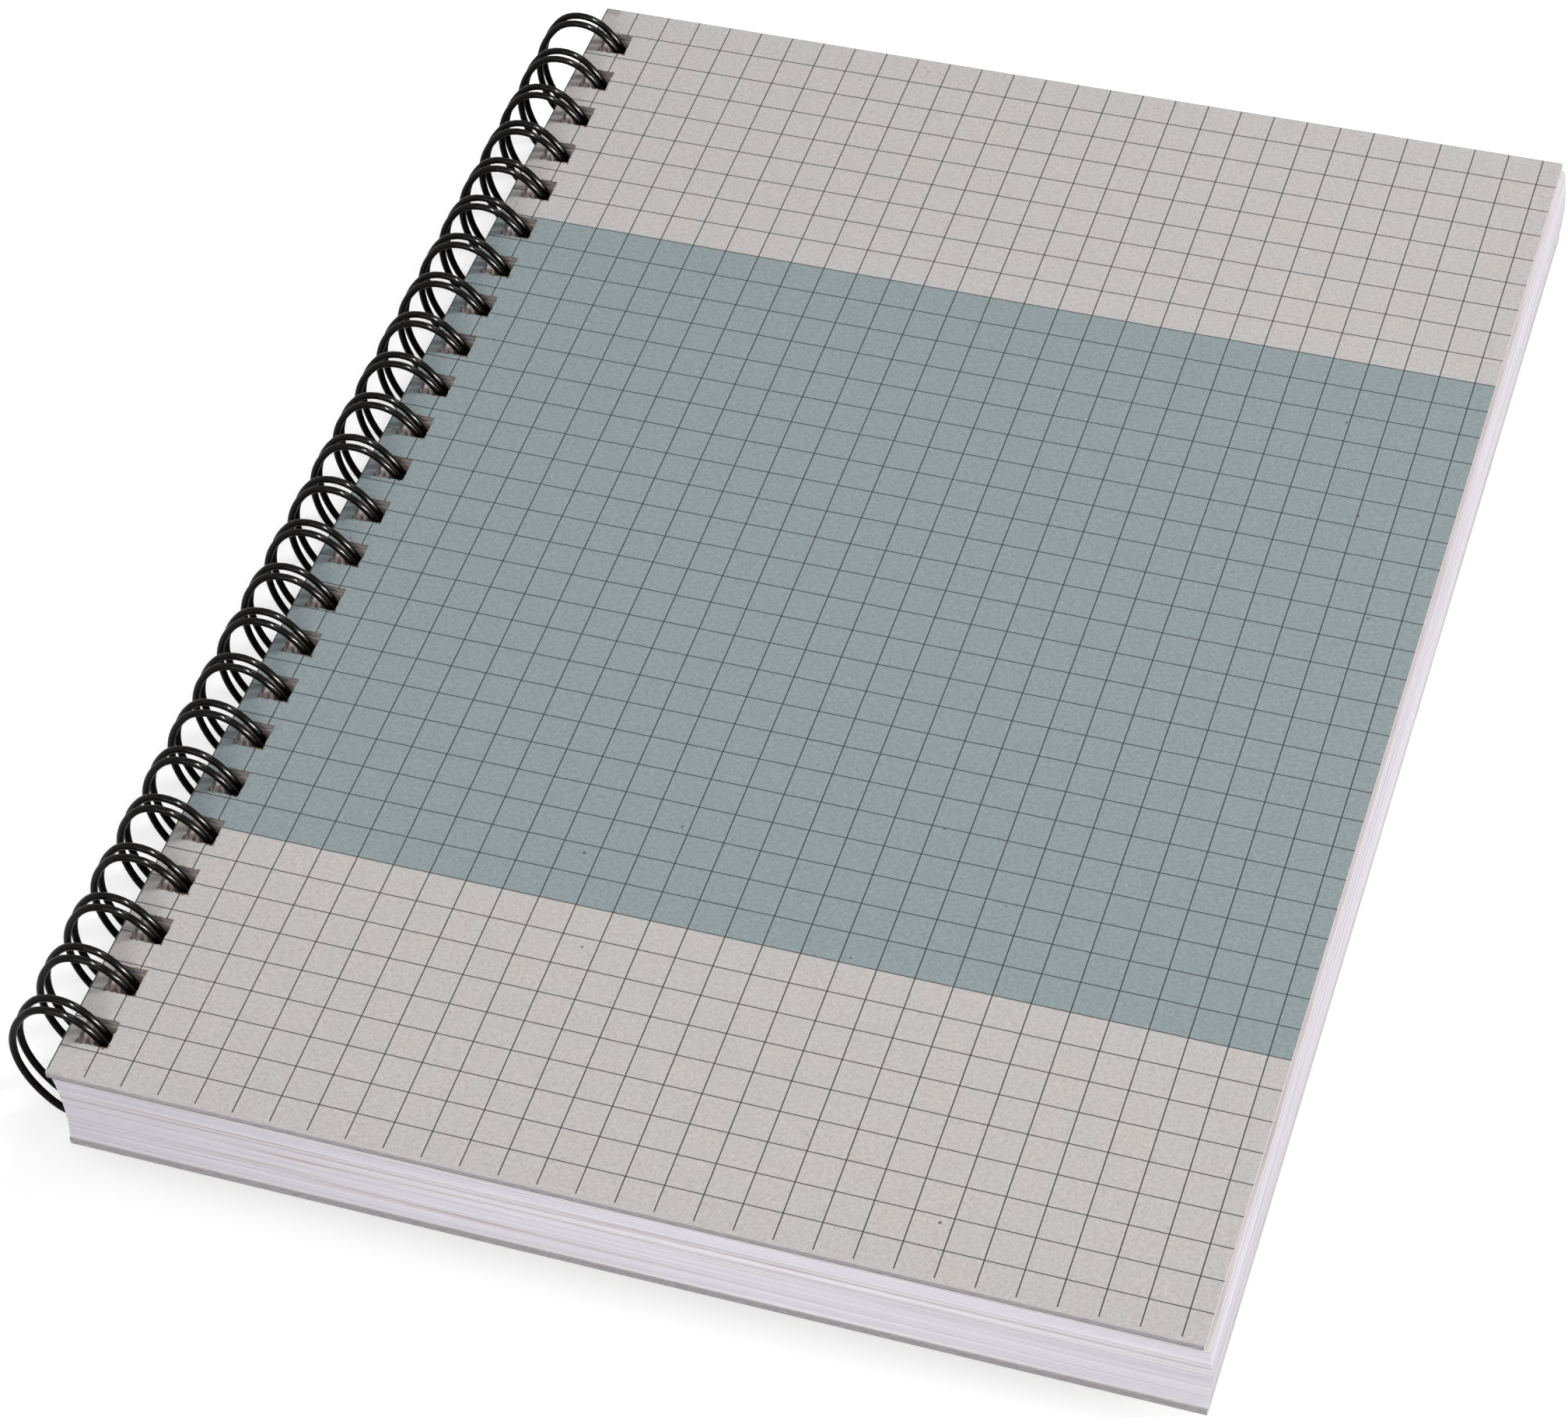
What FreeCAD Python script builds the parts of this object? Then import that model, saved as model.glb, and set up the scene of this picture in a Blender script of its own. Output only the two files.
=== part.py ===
"""A5 wire-bound notebook: two board covers, a block of leaves and one twin-loop binding wire.

Millimetres. X runs across the cover from the bound edge to the fore edge, Y along the bound
edge, +Z up out of the front cover. The origin is under the middle of the notebook, level with
the lowest point of the wire loops.
"""

import FreeCAD, Part
import math
import os
import Sketcher

from FreeCAD import Vector

DRIVING_SIZES = (
    ("cover_width", 148.0, "A5 sheet, bound edge to fore edge"),
    ("cover_height", 210.0, "A5 sheet, along the bound edge"),
    ("board_thickness", 1.0, "one cover board"),
    ("leaf_stack", 12.84, "all the leaves pressed together"),
    ("leaf_offset", 0.5, "outer leaves beyond the front cover, towards the fore edge"),
    ("leaf_bulge", 0.5, "how much further the round wire pushes the middle leaves"),
    ("back_offset", 0.5, "back cover beyond the front cover, towards the fore edge"),
    ("hole_side", 4.0, "square hole in covers and leaves"),
    ("hole_margin", 2.0, "bound edge to hole"),
    ("hole_count", 24, "holes along the bound edge"),
    ("hole_pitch", 25.4 / 3, "three holes to the inch"),
    ("wire_thickness", 1.0, "coated wire"),
    ("wire_sides", 6, "flats round the wire"),
    ("twin_spacing", 2.1, "between the two wires of a loop"),
    ("loop_half_width", 7.4, "middle of the loop to its side"),
    ("loop_half_height", 11.0, "middle of the loop to its top"),
    ("loop_cap_radius", 5.2, "tight bend over the top and under the bottom"),
    ("loop_outset", 1.3, "bound edge of the front cover to the middle of the loop"),
    ("root_bend_radius", 0.9, "where the wire turns from one loop towards the next"),
    ("seam_gap", 0.6, "tip of a loop to the line of the roots"),
    ("seam_clearance", 0.3, "wire to board and paper at the seam"),
)

doc = FreeCAD.newDocument("notebook")
sheet = doc.addObject("Spreadsheet::Sheet", "Sizes")
for row, (alias, value, meaning) in enumerate(DRIVING_SIZES, start=1):
    sheet.set(f"A{row}", meaning)
    sheet.set(f"B{row}", repr(value))
    sheet.setAlias(f"B{row}", alias)
doc.recompute()

# Places that the pieces share, as formulas on the sizes above.
LEAF_REACH = "(Sizes.cover_width + Sizes.leaf_offset + Sizes.leaf_bulge)"
LOOP_REACH = "(Sizes.loop_outset + Sizes.loop_half_width + Sizes.wire_thickness / 2)"
BOUND_EDGE_X = f"(({LOOP_REACH} - {LEAF_REACH}) / 2)"
LOOP_MIDDLE_X = f"({BOUND_EDGE_X} - Sizes.loop_outset)"
LOOP_MIDDLE_Z = "(Sizes.loop_half_height + Sizes.wire_thickness / 2)"
BLOCK_BOTTOM_Z = f"({LOOP_MIDDLE_Z} - Sizes.leaf_stack / 2)"
BLOCK_TOP_Z = f"({LOOP_MIDDLE_Z} + Sizes.leaf_stack / 2)"
BACK_COVER_Z = f"({BLOCK_BOTTOM_Z} - Sizes.board_thickness)"
HOLE_ROW_LENGTH = "((Sizes.hole_count - 1) * Sizes.hole_pitch)"
FIRST_HOLE_Y = f"(-{HOLE_ROW_LENGTH} / 2)"
LEAF_CURVE = "(Sizes.leaf_stack ^ 2 / (8 * Sizes.leaf_bulge) + Sizes.leaf_bulge / 2)"
SEAM_Z = f"({BLOCK_BOTTOM_Z} + Sizes.seam_clearance + Sizes.wire_thickness / 2)"
SIDE_RADIUS = (
    "((Sizes.loop_half_width ^ 2 + (Sizes.loop_half_height - Sizes.loop_cap_radius) ^ 2"
    " - Sizes.loop_cap_radius ^ 2) / (2 * (Sizes.loop_half_width - Sizes.loop_cap_radius)))"
)
SIDE_MIDDLE_X = f"({LOOP_MIDDLE_X} + Sizes.loop_half_width - {SIDE_RADIUS})"
SEAM_X = f"({SIDE_MIDDLE_X} + sqrt({SIDE_RADIUS} ^ 2 - ({LOOP_MIDDLE_Z} - {SEAM_Z}) ^ 2))"

# Flats that stand for one curve of the wire.
ROOT_FLATS = 1
OVAL_FLATS = 4
TIP_SIDE_FLATS = 3
TIP_FLATS = 4
BEND_FLATS = 2
RUN_FLATS = 1


def worth(formula):
    """The number that a formula on the sizes gives now."""
    return float(sheet.evalExpression(formula))


def origin_feature(body, role):
    """The body's own origin plane or axis with this role."""
    return next(item for item in body.Origin.OriginFeatures if item.Role == role)


def sketch_on(body, name, role, offsets):
    """An empty sketch on one of the body's origin planes, moved by formulas for its own x, y, z."""
    sketch = body.newObject("Sketcher::SketchObject", name)
    sketch.AttachmentSupport = [(origin_feature(body, role), "")]
    sketch.MapMode = "FlatFace"
    for axis, formula in offsets.items():
        sketch.setExpression(f"AttachmentOffset.Base.{axis}", formula)
    return sketch


def hold(sketch, kind, places, formula):
    """Add a sketch dimension and bind it to a formula."""
    index = sketch.addConstraint(Sketcher.Constraint(kind, *places, worth(formula)))
    sketch.setExpression(f"Constraints[{index}]", formula)


def outline(sketch, sides, joints):
    """Draw the sides and make the named pairs of their ends meet: 1 is a start, 2 an end."""
    for side in sides:
        sketch.addGeometry(side)
    for joint in joints:
        sketch.addConstraint(Sketcher.Constraint("Coincident", *joint))


def rectangle(sketch, left, bottom, width, height):
    """A rectangle whose first corner and sides follow formulas."""
    x_low, y_low = worth(left), worth(bottom)
    x_high, y_high = x_low + worth(width), y_low + worth(height)
    corners = [Vector(x_low, y_low, 0), Vector(x_high, y_low, 0)]
    corners += [Vector(x_high, y_high, 0), Vector(x_low, y_high, 0)]
    sides = [Part.LineSegment(*ends) for ends in zip(corners, corners[1:] + corners[:1])]
    outline(sketch, sides, ((0, 2, 1, 1), (1, 2, 2, 1), (2, 2, 3, 1), (3, 2, 0, 1)))
    for side, direction in enumerate(("Horizontal", "Vertical", "Horizontal", "Vertical")):
        sketch.addConstraint(Sketcher.Constraint(direction, side))
    hold(sketch, "DistanceX", (-1, 1, 0, 1), left)
    hold(sketch, "DistanceY", (-1, 1, 0, 1), bottom)
    hold(sketch, "DistanceX", (0, 1, 0, 2), width)
    hold(sketch, "DistanceY", (1, 1, 1, 2), height)


def leaf_profile(sketch, left, width):
    """A section through the leaves: level below and above, bowed out along the round wire."""
    x_low, stack = worth(left), worth("Sizes.leaf_stack")
    x_high = x_low + worth(width)
    halfway_out = Vector(worth("Sizes.leaf_bulge"), stack / 2, 0)
    low_near, low_far = Vector(x_low, 0, 0), Vector(x_high, 0, 0)
    high_near, high_far = Vector(x_low, stack, 0), Vector(x_high, stack, 0)
    sides = [
        Part.LineSegment(low_near, low_far),
        Part.Arc(low_far, low_far + halfway_out, high_far),
        Part.LineSegment(high_far, high_near),
        Part.Arc(low_near, low_near + halfway_out, high_near),
    ]
    outline(sketch, sides, ((0, 2, 1, 1), (1, 2, 2, 1), (2, 2, 3, 2), (3, 1, 0, 1)))
    sketch.addConstraint(Sketcher.Constraint("Horizontal", 0))
    sketch.addConstraint(Sketcher.Constraint("Horizontal", 2))
    sketch.addConstraint(Sketcher.Constraint("PointOnObject", 0, 1, -1))
    sketch.addConstraint(Sketcher.Constraint("Vertical", 0, 1, 2, 2))
    hold(sketch, "DistanceX", (-1, 1, 0, 1), left)
    hold(sketch, "DistanceX", (0, 1, 0, 2), width)
    hold(sketch, "DistanceX", (2, 2, 2, 1), width)
    hold(sketch, "DistanceY", (0, 1, 2, 2), "Sizes.leaf_stack")
    for arc in (1, 3):
        hold(sketch, "Radius", (arc,), LEAF_CURVE)


def hole_row(body, pocket):
    """Repeat the first hole along the bound edge."""
    row = body.newObject("PartDesign::LinearPattern", "hole_row")
    row.Originals = [pocket]
    row.Direction = (origin_feature(body, "Y_Axis"), [""])
    row.setExpression("Length", HOLE_ROW_LENGTH)
    row.setExpression("Occurrences", "Sizes.hole_count")
    body.Tip = row


def cover(name, bound_edge_x, underside_z):
    """A flat board with one square hole for each loop of the wire."""
    body = doc.addObject("PartDesign::Body", name)
    lower_side = {"x": bound_edge_x, "z": underside_z}
    board_outline = sketch_on(body, "board_outline", "XY_Plane", lower_side)
    tail = "-Sizes.cover_height / 2"
    rectangle(board_outline, "0", tail, "Sizes.cover_width", "Sizes.cover_height")
    board = body.newObject("PartDesign::Pad", "board")
    board.Profile = board_outline
    board.setExpression("Length", "Sizes.board_thickness")

    upper_side = {"x": bound_edge_x, "z": f"{underside_z} + Sizes.board_thickness"}
    hole_outline = sketch_on(body, "hole_outline", "XY_Plane", upper_side)
    near_side = f"{FIRST_HOLE_Y} - Sizes.hole_side / 2"
    rectangle(hole_outline, "Sizes.hole_margin", near_side, "Sizes.hole_side", "Sizes.hole_side")
    hole = body.newObject("PartDesign::Pocket", "hole")
    hole.Profile = hole_outline
    hole.setExpression("Length", "Sizes.board_thickness")
    hole_row(body, hole)
    return body


def page_block(name):
    """All the leaves as one block, with a bowed passage for each loop and room for the seam."""
    body = doc.addObject("PartDesign::Body", name)
    corner = {"x": BOUND_EDGE_X, "y": BLOCK_BOTTOM_Z}
    stack_outline = sketch_on(body, "stack_outline", "XZ_Plane", corner)
    leaf_profile(stack_outline, "Sizes.leaf_offset", "Sizes.cover_width")
    stack = body.newObject("PartDesign::Pad", "stack")
    stack.Profile = stack_outline
    stack.SideType = "Symmetric"
    stack.setExpression("Length", "Sizes.cover_height")

    first_hole = dict(corner, z=f"-({FIRST_HOLE_Y} - Sizes.hole_side / 2)")
    passage_outline = sketch_on(body, "passage_outline", "XZ_Plane", first_hole)
    leaf_profile(passage_outline, "Sizes.leaf_offset + Sizes.hole_margin", "Sizes.hole_side")
    passage = body.newObject("PartDesign::Pocket", "passage")
    passage.Profile = passage_outline
    passage.setExpression("Length", "Sizes.hole_side")
    hole_row(body, passage)

    # The last leaves give way above the line of roots, which run between them and the back cover.
    half_width = "(Sizes.wire_thickness / 2 + Sizes.seam_clearance)"
    seam_start = dict(corner, z=f"-{FIRST_HOLE_Y}")
    channel_outline = sketch_on(body, "channel_outline", "XZ_Plane", seam_start)
    left = f"{SEAM_X} - {BOUND_EDGE_X} - {half_width}"
    depth = f"{SEAM_Z} - {BLOCK_BOTTOM_Z} + {half_width}"
    rectangle(channel_outline, left, "0", f"2 * {half_width}", depth)
    channel = body.newObject("PartDesign::Pocket", "seam_channel")
    channel.Profile = channel_outline
    channel.setExpression("Length", HOLE_ROW_LENGTH)
    body.Tip = channel
    return body


def loop_arcs(y, root_angle, tip_angle):
    """One wire of a loop, from its root round the oval to its tip, with the flats along each arc."""
    middle_x, middle_z = worth(LOOP_MIDDLE_X), worth(LOOP_MIDDLE_Z)
    side_radius, cap_radius = worth(SIDE_RADIUS), worth("Sizes.loop_cap_radius")
    side_shift = side_radius - worth("Sizes.loop_half_width")
    cap_shift = worth("Sizes.loop_half_height") - cap_radius
    turn = math.atan2(cap_shift, side_shift)
    half, whole = math.pi, 2 * math.pi
    fore_side = (middle_x - side_shift, middle_z, side_radius)
    bottom = (middle_x, middle_z - cap_shift, cap_radius)
    bound_side = (middle_x + side_shift, middle_z, side_radius)
    top = (middle_x, middle_z + cap_shift, cap_radius)
    stretches = (
        (fore_side, root_angle, -turn, ROOT_FLATS),
        (bottom, -turn, turn - half, OVAL_FLATS),
        (bound_side, turn - half, -half - turn, OVAL_FLATS),
        (top, -half - turn, turn - whole, OVAL_FLATS),
        (fore_side, turn - whole, tip_angle - whole, TIP_SIDE_FLATS),
    )
    arcs = []
    for (x, z, radius), start, end, flats in stretches:
        angles = (start, (start + end) / 2, end)
        points = [Vector(x + radius * math.cos(a), y, z + radius * math.sin(a)) for a in angles]
        arcs.append((points, flats))
    return arcs


def comb_path():
    """The centre line of the whole wire, as curves with the flats that stand for each one.

    The wire goes round a loop, turns at its tip, comes back beside itself and runs along to the
    next loop. The tips end just above the roots, between the last leaf and the back cover.
    """
    side_radius = worth(SIDE_RADIUS)
    bend = worth("Sizes.root_bend_radius")
    half_twin = worth("Sizes.twin_spacing") / 2
    seam_angle = -math.asin(worth(f"{LOOP_MIDDLE_Z} - {SEAM_Z}") / side_radius)
    root_angle = seam_angle - bend / side_radius
    tip_angle = seam_angle + (worth("Sizes.seam_gap") + half_twin) / side_radius
    down_at_root = Vector(math.sin(root_angle), 0, -math.cos(root_angle))
    down_at_tip = Vector(math.sin(tip_angle), 0, -math.cos(tip_angle))
    along = Vector(0, 1, 0)
    slant = bend * math.sqrt(0.5)
    count = int(worth("Sizes.hole_count"))
    curves = []
    for number in range(count):
        y = worth(FIRST_HOLE_Y) + number * worth("Sizes.hole_pitch")
        outward = loop_arcs(y - half_twin, root_angle, tip_angle)
        homeward = loop_arcs(y + half_twin, root_angle, tip_angle)
        if number > 0:
            root = outward[0][0][0]
            bend_middle = root - along * bend
            bend_start = bend_middle - down_at_root * bend
            bend_halfway = bend_middle + (along - down_at_root) * slant
            curves.append((Part.LineSegment(last_bend_end, bend_start), RUN_FLATS))
            curves.append((Part.Arc(bend_start, bend_halfway, root), BEND_FLATS))
        curves += [(Part.Arc(*points), flats) for points, flats in outward]
        tip_start, tip_end = outward[-1][0][2], homeward[-1][0][2]
        tip_halfway = (tip_start + tip_end) / 2 + down_at_tip * half_twin
        curves.append((Part.Arc(tip_start, tip_halfway, tip_end), TIP_FLATS))
        curves += [(Part.Arc(*points[::-1]), flats) for points, flats in homeward[::-1]]
        if number < count - 1:
            root = homeward[0][0][0]
            bend_middle = root + along * bend
            last_bend_end = bend_middle - down_at_root * bend
            bend_halfway = bend_middle - (along + down_at_root) * slant
            curves.append((Part.Arc(root, bend_halfway, last_bend_end), BEND_FLATS))
    return curves


def stations(curves):
    """Points along the curves, each with the direction of the wire there."""
    found = []
    for curve, flats in curves:
        first, last = curve.FirstParameter, curve.LastParameter
        for step in range(flats):
            place = first + (last - first) * step / flats
            found.append((curve.value(place), curve.tangent(place)[0]))
    found.append((curve.value(last), curve.tangent(last)[0]))
    return found


def flat_sided_wire(curves, radius, sides):
    """A solid with a many-sided section square to the curves, and flats from station to station."""
    places = stations(curves)
    direction = places[0][1]
    spoke = direction.cross(Vector(0, 1, 0)).normalize() * radius
    turns = [FreeCAD.Rotation(direction, 360 * corner / sides) for corner in range(sides)]
    spokes = [turn.multVec(spoke) for turn in turns]
    sections = []
    for point, tangent in places:
        swing = FreeCAD.Rotation(direction, tangent)
        spokes = [swing.multVec(spoke) for spoke in spokes]
        direction = tangent
        sections.append([point + spoke for spoke in spokes])
    faces = [Part.Face(Part.makePolygon(end + end[:1])) for end in (sections[0], sections[-1])]
    for here, there in zip(sections, sections[1:]):
        for side in range(sides):
            after = (side + 1) % sides
            corners = [here[side], here[after], there[after], there[side], here[side]]
            faces.append(Part.Face(Part.makePolygon(corners)))
    shell = Part.Shell(faces)
    shell.sewShape()
    solid = Part.Solid(shell)
    if solid.Volume < 0:
        solid.reverse()
    return solid


def binding_wire(name):
    """One length of wire, bent into a comb of twin-wire loops and closed round the bound edge."""
    radius = worth("Sizes.wire_thickness / 2")
    wire = doc.addObject("Part::Feature", name)
    wire.Shape = flat_sided_wire(comb_path(), radius, int(worth("Sizes.wire_sides")))
    return wire


back_cover = cover("back_cover", f"({BOUND_EDGE_X} + Sizes.back_offset)", BACK_COVER_Z)
block = page_block("page_block")
front_cover = cover("front_cover", BOUND_EDGE_X, BLOCK_TOP_Z)
loops = binding_wire("binding_wire")
pieces = (back_cover, block, front_cover, loops)
for piece in pieces:
    piece.Label = piece.Name
doc.recompute()

for item in doc.Objects:
    if "Invalid" in item.State or "Error" in item.State:
        raise RuntimeError(f"{item.Label} did not build: {item.State}")
for piece in pieces:
    if piece.Shape.isNull() or not piece.Shape.isValid():
        raise RuntimeError(f"{piece.Label} has no sound shape")

os.makedirs("parts", exist_ok=True)
for piece in pieces:
    piece.Shape.exportStep(f"parts/{piece.Label}.step")
    print(piece.Label, len(piece.Shape.Solids), "solid", round(piece.Shape.Volume, 2), "mm3")
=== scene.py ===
import math
import random

import bmesh
import bpy
from mathutils import Matrix, Vector


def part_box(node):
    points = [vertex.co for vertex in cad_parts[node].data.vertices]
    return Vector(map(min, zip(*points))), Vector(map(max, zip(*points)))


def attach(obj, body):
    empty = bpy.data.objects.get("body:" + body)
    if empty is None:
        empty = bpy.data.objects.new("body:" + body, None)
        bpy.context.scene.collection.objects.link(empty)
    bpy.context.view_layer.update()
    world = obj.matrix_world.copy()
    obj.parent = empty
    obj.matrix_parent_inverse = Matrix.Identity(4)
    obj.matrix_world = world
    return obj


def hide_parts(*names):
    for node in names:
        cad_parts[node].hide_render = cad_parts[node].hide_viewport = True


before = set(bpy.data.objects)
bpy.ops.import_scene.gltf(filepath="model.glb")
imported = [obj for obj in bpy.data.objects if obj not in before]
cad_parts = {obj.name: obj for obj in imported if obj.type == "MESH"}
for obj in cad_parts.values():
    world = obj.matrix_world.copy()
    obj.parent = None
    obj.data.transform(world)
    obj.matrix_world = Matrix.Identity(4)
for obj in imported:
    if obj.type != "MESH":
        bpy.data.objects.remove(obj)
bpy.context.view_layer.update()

MM = 0.001
EAST, NORTH, UP = Vector((1, 0, 0)), Vector((0, 1, 0)), Vector((0, 0, 1))

# The punched holes and the wire, as they are in the solids.
HOLES = 24
HOLE_PITCH = 25.4 * MM / 3
HOLE_SIDE = 4 * MM
HOLE_MARGIN = 2 * MM
WIRE_THICKNESS = 1.0 * MM
TWIN_SPACING = 2.1 * MM
LOOP_HALF_WIDTH = 7.4 * MM
LOOP_HALF_HEIGHT = 11.0 * MM
LOOP_CAP_RADIUS = 5.2 * MM
ROOT_BEND_RADIUS = 0.9 * MM
SEAM_GAP = 0.6 * MM
SEAM_CLEARANCE = 0.3 * MM

# From this share of the way round a loop on, its two wires draw together to the tip.
NARROWS_FROM = 0.5
TIP_SPACING = 1.12 * MM

# How finely the wire is drawn.
WIRE_SIDES = 12
LOOP_STEP = 1.0 * MM
BEND_STEP = 0.3 * MM
TIP_STEP = 0.2 * MM
FEWEST_STEPS = 3

# The cover boards: their corners and arrises, and the torn points on each side of a hole.
CORNER_RADIUS = 0.2 * MM
CORNER_STEPS = 4
BOARD_ARRIS = 0.05 * MM
TEAR = 0.16 * MM
TEARS_A_SIDE = 7
FRONT_SEED = 3
BACK_SEED = 5
WELD_DISTANCE = 0.001 * MM

# The leaves between the covers. A leaf fills its share of the step to the next one.
LEAVES = 128
LEAF_SHARE = 0.93
LEAF_LIFT = 0.03
LEAF_BULGE = 0.5 * MM
LEAF_SLIP = 0.04 * MM
LEAF_ROOM = 0.03 * MM
LEAF_RECESS = 0.2 * MM
LEAF_SLIT = 0.12 * MM
LEAF_SEED = 7

# Each leaf's own tone, 0 to 1, kept with its mesh for the paper's finish.
TONE = "tone"

FRONT_LOW, FRONT_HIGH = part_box("front_cover")
BACK_LOW, BACK_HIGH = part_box("back_cover")
BLOCK_LOW, BLOCK_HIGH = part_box("page_block")
WIRE_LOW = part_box("binding_wire")[0]


class Socket:
    """One output of a node, so that a finish or a shape can be written as sums on sockets."""

    def __init__(self, nodes, output):
        self.nodes = nodes
        self.output = output

    def maths(self, operation, *values, clamp=False):
        """A Math node on the values, each a number or a socket."""
        settings = {"operation": operation, "use_clamp": clamp}
        return self.nodes.node("ShaderNodeMath", settings, dict(enumerate(values)))

    def __add__(self, other):
        return self.maths("ADD", self, other)

    def __radd__(self, other):
        return self.maths("ADD", other, self)

    def __sub__(self, other):
        return self.maths("SUBTRACT", self, other)

    def __rsub__(self, other):
        return self.maths("SUBTRACT", other, self)

    def __mul__(self, other):
        return self.maths("MULTIPLY", self, other)

    def __rmul__(self, other):
        return self.maths("MULTIPLY", other, self)

    def __truediv__(self, other):
        return self.maths("DIVIDE", self, other)

    def __rtruediv__(self, other):
        return self.maths("DIVIDE", other, self)

    def above(self, level):
        return self.maths("GREATER_THAN", self, level)

    def below(self, level):
        return self.maths("LESS_THAN", self, level)

    def larger(self, other):
        return self.maths("MAXIMUM", self, other)

    def smaller(self, other):
        return self.maths("MINIMUM", self, other)

    def root(self):
        return self.maths("SQRT", self)

    def size(self):
        return self.maths("ABSOLUTE", self)

    def rounded(self):
        return self.maths("ROUND", self)

    def clamped(self):
        return self.maths("ADD", self, 0.0, clamp=True)

    def ramp(self, start, end):
        """0 at start and 1 at end, straight between them and level outside."""
        return ((self - start) / (end - start)).clamped()

    def beside(self, name):
        """Another output of the same node."""
        return Socket(self.nodes, self.output.node.outputs[name])


class Nodes:
    """The nodes of a material, of the world or of a piece's shape."""

    def __init__(self, tree):
        self.tree = tree

    def node(self, kind, settings=None, values=None, output=0):
        """A node of any kind: its settings first, then the values or links of its sockets."""
        node = self.tree.nodes.new(kind)
        for name, setting in (settings or {}).items():
            setattr(node, name, setting)
        for key, value in (values or {}).items():
            self.feed(node.inputs[key], value)
        return Socket(self, node.outputs[output]) if node.outputs else None

    def feed(self, entry, value):
        """Sets or links one socket. All the sockets in a list go to the same one."""
        if isinstance(value, list):
            for part in value:
                self.feed(entry, part)
        elif isinstance(value, Socket):
            self.tree.links.new(value.output, entry)
        elif entry.type == "RGBA" and len(value) == 3:
            entry.default_value = (*value, 1.0)
        else:
            entry.default_value = value

    def place(self):
        """The point of the piece being shaded."""
        return self.node("ShaderNodeTexCoord", output="Object")

    def axes(self, where):
        """The x, y and z of a vector."""
        x = self.node("ShaderNodeSeparateXYZ", values={"Vector": where})
        return x, x.beside("Y"), x.beside("Z")

    def noise(self, where, grain, stretch=(1, 1, 1), detail=2.0, roughness=0.5, shift=(0, 0, 0)):
        """Soft noise with features about grain metres across, narrower where stretch is more."""
        scaled = self.node(
            "ShaderNodeMapping", values={"Vector": where, "Scale": stretch, "Location": shift}
        )
        return self.node(
            "ShaderNodeTexNoise",
            values={
                "Vector": scaled, "Scale": 1 / grain,
                "Detail": detail, "Roughness": roughness,
            },
            output="Fac",
        )

    def mix(self, share, low, high):
        """A colour between low and high."""
        first, second, mixed = 6, 7, 2
        return self.node(
            "ShaderNodeMix", {"data_type": "RGBA"},
            {"Factor": share, first: low, second: high}, output=mixed,
        )

    def bump(self, height, strength, distance):
        return self.node(
            "ShaderNodeBump",
            values={"Height": height, "Strength": strength, "Distance": distance},
        )


class Finish(Nodes):
    """A material being made, with its surface shader."""

    def __init__(self, name):
        self.material = bpy.data.materials.new(name)
        self.material.use_nodes = True
        super().__init__(self.material.node_tree)
        self.shader = self.tree.nodes["Principled BSDF"]

    def surface(self, **values):
        """Feeds the surface shader. Spaces in its socket names are written as underscores."""
        for name, value in values.items():
            self.feed(self.shader.inputs[name.replace("_", " ")], value)
        return self.material


def tint(red, green, blue):
    """A screen colour, 0 to 255, as the light it stands for, by the sRGB curve."""
    return tuple(
        part / 12.92 if part <= 0.04045 else ((part + 0.055) / 1.055) ** 2.4
        for part in (red / 255, green / 255, blue / 255)
    )


# The print. Row k of the grid lies k steps, less k squared drifts, below the head.
GRID_STEP = 5.0 * MM
GRID_START = 0.12 * MM
GRID_END_GAP = 0.6 * MM
LINE_WIDTH = 0.16 * MM
ROW_STEP = 5.35 * MM
ROW_DRIFT = 0.0083 * MM
BAND_TOP = 9
BAND_BOTTOM = 33
LAST_ROW = 41

BOARD_WARM = tint(205, 198, 196)
BOARD_COOL = tint(199, 199, 200)
BOARD_SHADE = tint(180, 175, 173)
BAND_COLOUR = tint(151, 163, 166)
BAND_SHADE = tint(129, 142, 144)
LINE_COLOUR = tint(56, 60, 59)
FIBRE_DARK = tint(122, 110, 100)
FIBRE_PALE = tint(232, 229, 224)
SPECK = tint(84, 70, 60)
CUT_BOARD = tint(170, 167, 169)
CUT_SHADE = tint(138, 133, 134)
# Painted shade: the dark line on the cut edge where the cover meets the leaves.
CUT_GAP_SHADE = tint(84, 80, 88)
# Painted light: the fore edge's cut face, painted pale as though lit from that side.
CUT_FORE_LIGHT = tint(230, 222, 215)
TORN_RIM = tint(112, 88, 70)
SCORCH = tint(74, 50, 34)
# Rub marks mixed with painted shade of the wires.
RUB_AND_SHADE_MARK = tint(78, 74, 70)

# The noises of the board, and the levels between which each turns one colour into another.
MOTTLE = {"grain": 5.0 * MM}
FELT = {"grain": 0.5 * MM, "detail": 5.0, "roughness": 0.72, "shift": (3.1, 1.7, 0.4)}
PLIES = {"grain": 0.3 * MM, "stretch": (0.2, 0.2, 1.6), "detail": 3.0, "roughness": 0.7}
MOTTLE_LEVELS = (0.35, 0.65)
FELT_LEVELS = (0.3, 0.68)
PLY_LEVELS = (0.35, 0.65)

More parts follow.
